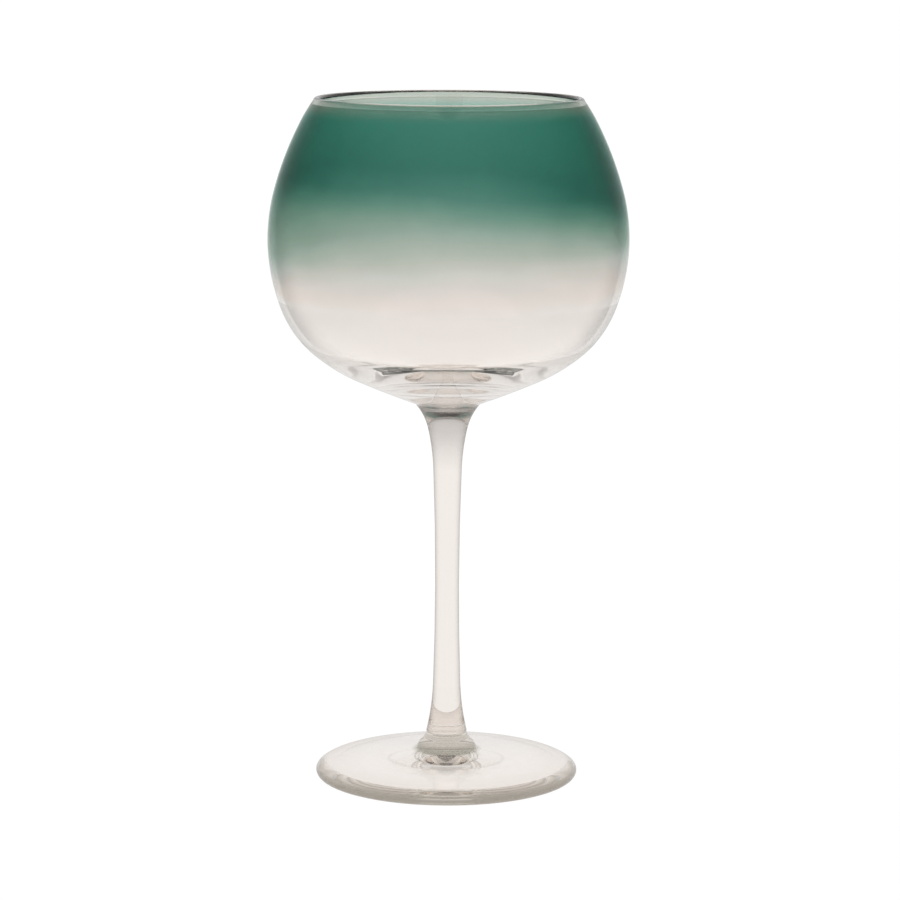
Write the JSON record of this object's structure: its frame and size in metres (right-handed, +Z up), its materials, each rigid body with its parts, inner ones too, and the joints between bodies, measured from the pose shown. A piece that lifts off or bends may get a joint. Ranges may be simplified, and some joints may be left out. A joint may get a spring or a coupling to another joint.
{
  "type": "stemmed wine glass",
  "caption": "Stemmed wine glass with a round balloon bowl, slim drawn stem and disc foot, with a translucent colour coat fading down from the rim.",
  "frame": {"origin": "on the glass's axis, in the plane that its foot stands on", "axes": "+Z up along the axis from the foot to the rim; X and Y are free, because the glass is round"},
  "size_m": [0.1056, 0.1056, 0.2016],
  "materials": {
    "clear_glass": "clear soda-lime glass, fire polished, very slightly warm in tone",
    "green_coat": "transparent sea-green sprayed lacquer, glossy, dense below the rim and faded out under the belly"
  },
  "bodies": {
    "root": {"bowl": "clear_glass", "stem": "clear_glass", "foot": "clear_glass", "ombre_coat": "green_coat"}
  },
  "joints": []
}
